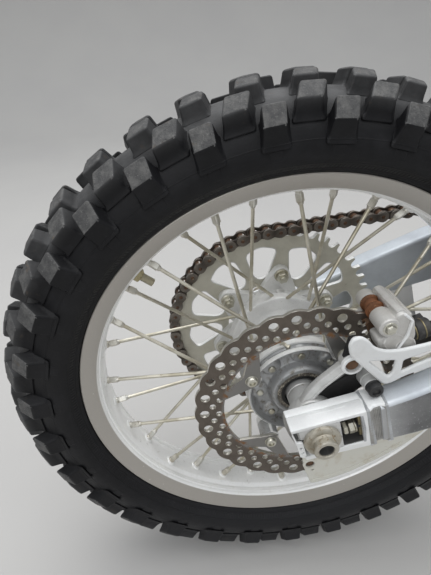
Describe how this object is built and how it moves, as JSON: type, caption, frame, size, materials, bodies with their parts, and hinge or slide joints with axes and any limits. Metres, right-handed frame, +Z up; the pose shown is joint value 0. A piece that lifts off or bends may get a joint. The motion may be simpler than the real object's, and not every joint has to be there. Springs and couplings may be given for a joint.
{
  "type": "motorcycle rear wheel and swing arm assembly",
  "caption": "Spoked off-road rear wheel with knobbly tyre, turning in an alloy swing arm with chain, sprockets, disc brake and guards.",
  "frame": {"origin": "centre of the swing arm's pivot bore, on the wheel's centre plane", "axes": "+X forward, +Y to the left along the pivot and axle, +Z up"},
  "size_m": [1.0022, 0.27, 0.6488],
  "materials": {
    "tyre_rubber": "dusty, worn knob tops",
    "rim_alloy": "greige band, polished well",
    "spoke_steel": "weathered plating",
    "cast_alloy": "sand cast, speckled",
    "disc_steel": "ground, rusty edges",
    "fastener_steel": "zinc plated",
    "sprocket_steel": "dirty",
    "black_rubber": "matte",
    "arm_alloy": "blue-white oxide, scratched",
    "axle_steel": "corroded",
    "brass_plate": "yellow plated",
    "spacer_alloy": "turned",
    "chain_steel": "oily with rust",
    "black_plastic": "worn",
    "pad_steel": "matte",
    "guard_paint": "chipped white",
    "fin_paint": "stained cream"
  },
  "bodies": {
    "swing_arm": {"arm_end_right": "arm_alloy", "arm_end_left": "arm_alloy", "beam_right": "arm_alloy", "beam_left": "arm_alloy", "arm_casting": "arm_alloy", "pivot_bush_right": "fastener_steel", "pivot_bush_left": "fastener_steel", "axle": "axle_steel", "axle_nut": "axle_steel", "axle_block_right": "cast_alloy", "axle_block_left": "cast_alloy", "adjuster_right": "brass_plate", "adjuster_left": "brass_plate", "spacer_right": "spacer_alloy", "spacer_left": "spacer_alloy", "chain": "chain_steel", "chain_slider": "black_plastic", "drive_sprocket": "chain_steel", "chain_guide_bracket": "arm_alloy", "chain_guide": "black_plastic", "caliper_bracket": "cast_alloy", "caliper": "cast_alloy", "brake_pads": "pad_steel", "slide_pin": "spacer_alloy", "pin_cap": "black_rubber", "pin_boot": "black_rubber", "hose_fitting": "black_rubber", "caliper_guard": "guard_paint", "disc_guard": "fin_paint"},
    "wheel": {"tyre": "tyre_rubber", "rim": "rim_alloy", "spokes": "spoke_steel", "nipples": "spoke_steel", "hub": "cast_alloy", "brake_disc": "disc_steel", "disc_bolts": "fastener_steel", "sprocket": "sprocket_steel", "sprocket_bolts": "fastener_steel", "wheel_bearings": "fastener_steel", "wheel_seals": "black_rubber", "rim_lock": "fastener_steel", "valve_stem": "fastener_steel"}
  },
  "joints": [
    {"name": "wheel_spin", "type": "hinge", "parent": "swing_arm", "child": "wheel", "pos_m": [-0.57001, 0, -0.1316], "axis": [0, 1, 0], "continuous": true}
  ]
}
